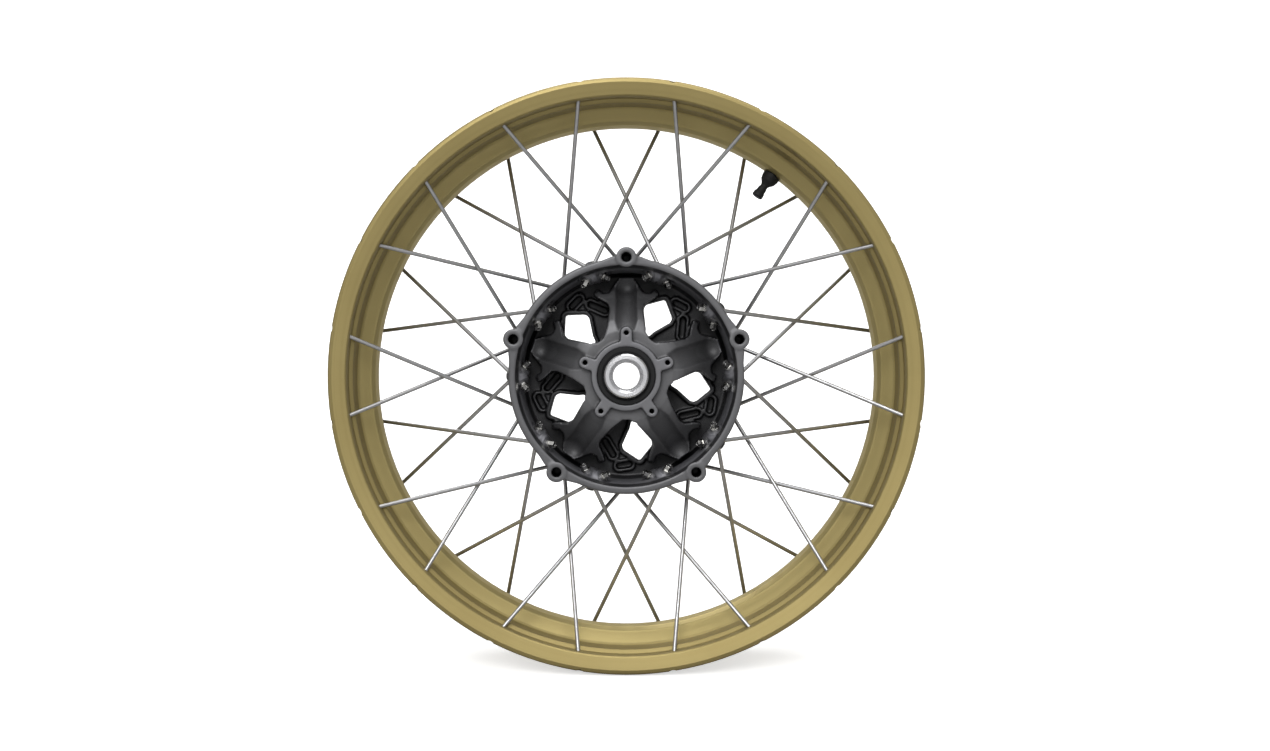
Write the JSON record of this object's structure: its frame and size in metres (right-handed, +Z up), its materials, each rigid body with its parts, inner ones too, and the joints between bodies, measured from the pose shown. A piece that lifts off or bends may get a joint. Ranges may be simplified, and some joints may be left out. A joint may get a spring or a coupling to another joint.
{
  "type": "spoked motorcycle wheel",
  "caption": "Tubeless cross-spoked motorcycle front wheel, gold drop-centre rim on a dark cast five-arm hub with sealed bearings and a rubber valve.",
  "frame": {"origin": "centre of the wheel on its spin axis, midway between the rim edges", "axes": "+Y along the spin axis towards the right side of the motorcycle, -Y towards the left side, +Z up through one left disc lug"},
  "size_m": [0.5136, 0.1108, 0.5136],
  "materials": {
    "gold_anodised": "matte gold anodised",
    "dark_casting": "satin anthracite paint over cast aluminium",
    "spoke_steel": "satin stainless",
    "nickel": "bright nickel",
    "dark_steel": "blackened",
    "steel": "ground",
    "chrome_steel": "polished",
    "collar_aluminium": "turned",
    "rubber": "matte black",
    "black_plastic": "matte black",
    "brass": "nickel free, turned"
  },
  "bodies": {
    "axle_stack": {"spacer_tube": "steel", "bearing_inner_ring_left": "steel", "bearing_inner_ring_right": "steel", "collar_left": "collar_aluminium", "collar_right": "collar_aluminium"},
    "wheel": {"rim": "gold_anodised", "hub": "dark_casting", "valve_rubber": "rubber", "valve_stem": "brass", "valve_core": "brass", "valve_spring": "steel", "spokes_left_outer": "spoke_steel", "spokes_left_inner": "spoke_steel", "spokes_right_outer": "spoke_steel", "spokes_right_inner": "spoke_steel", "nipples_left": "nickel", "nipple_locks_left": "dark_steel", "bearing_outer_ring_left": "steel", "bearing_shields_left": "steel", "shaft_seal_left": "rubber", "nipples_right": "nickel", "nipple_locks_right": "dark_steel", "bearing_outer_ring_right": "steel", "bearing_shields_right": "steel", "shaft_seal_right": "rubber"},
    "balls_left": {"bearing_balls_left": "chrome_steel", "bearing_cage_left": "steel"},
    "balls_right": {"bearing_balls_right": "chrome_steel", "bearing_cage_right": "steel"},
    "pin": {"valve_pin": "steel"},
    "cap": {"valve_cap": "black_plastic"}
  },
  "joints": [
    {"name": "wheel_spin", "type": "hinge", "parent": "axle_stack", "child": "wheel", "pos_m": [0, 0, 0], "axis": [0, 1, 0], "continuous": true},
    {"name": "balls_left_spin", "type": "hinge", "parent": "axle_stack", "child": "balls_left", "pos_m": [0, -0.033, 0], "axis": [0, 1, 0], "continuous": true},
    {"name": "balls_right_spin", "type": "hinge", "parent": "axle_stack", "child": "balls_right", "pos_m": [0, 0.033, 0], "axis": [0, 1, 0], "continuous": true},
    {"name": "valve_pin_press", "type": "slide", "parent": "wheel", "child": "pin", "axis": [0.5878, 0, 0.809], "range_m": [0, 0.0011], "deforming": ["valve_spring"]},
    {"name": "valve_cap_off", "type": "slide", "parent": "wheel", "child": "cap", "axis": [-0.5878, 0, -0.809], "range_m": [0, 0.012]}
  ],
  "couplings": [
    {"joint": "balls_left_spin", "follows": "wheel_spin", "ratio": 0.5882},
    {"joint": "balls_right_spin", "follows": "wheel_spin", "ratio": 0.5882}
  ]
}
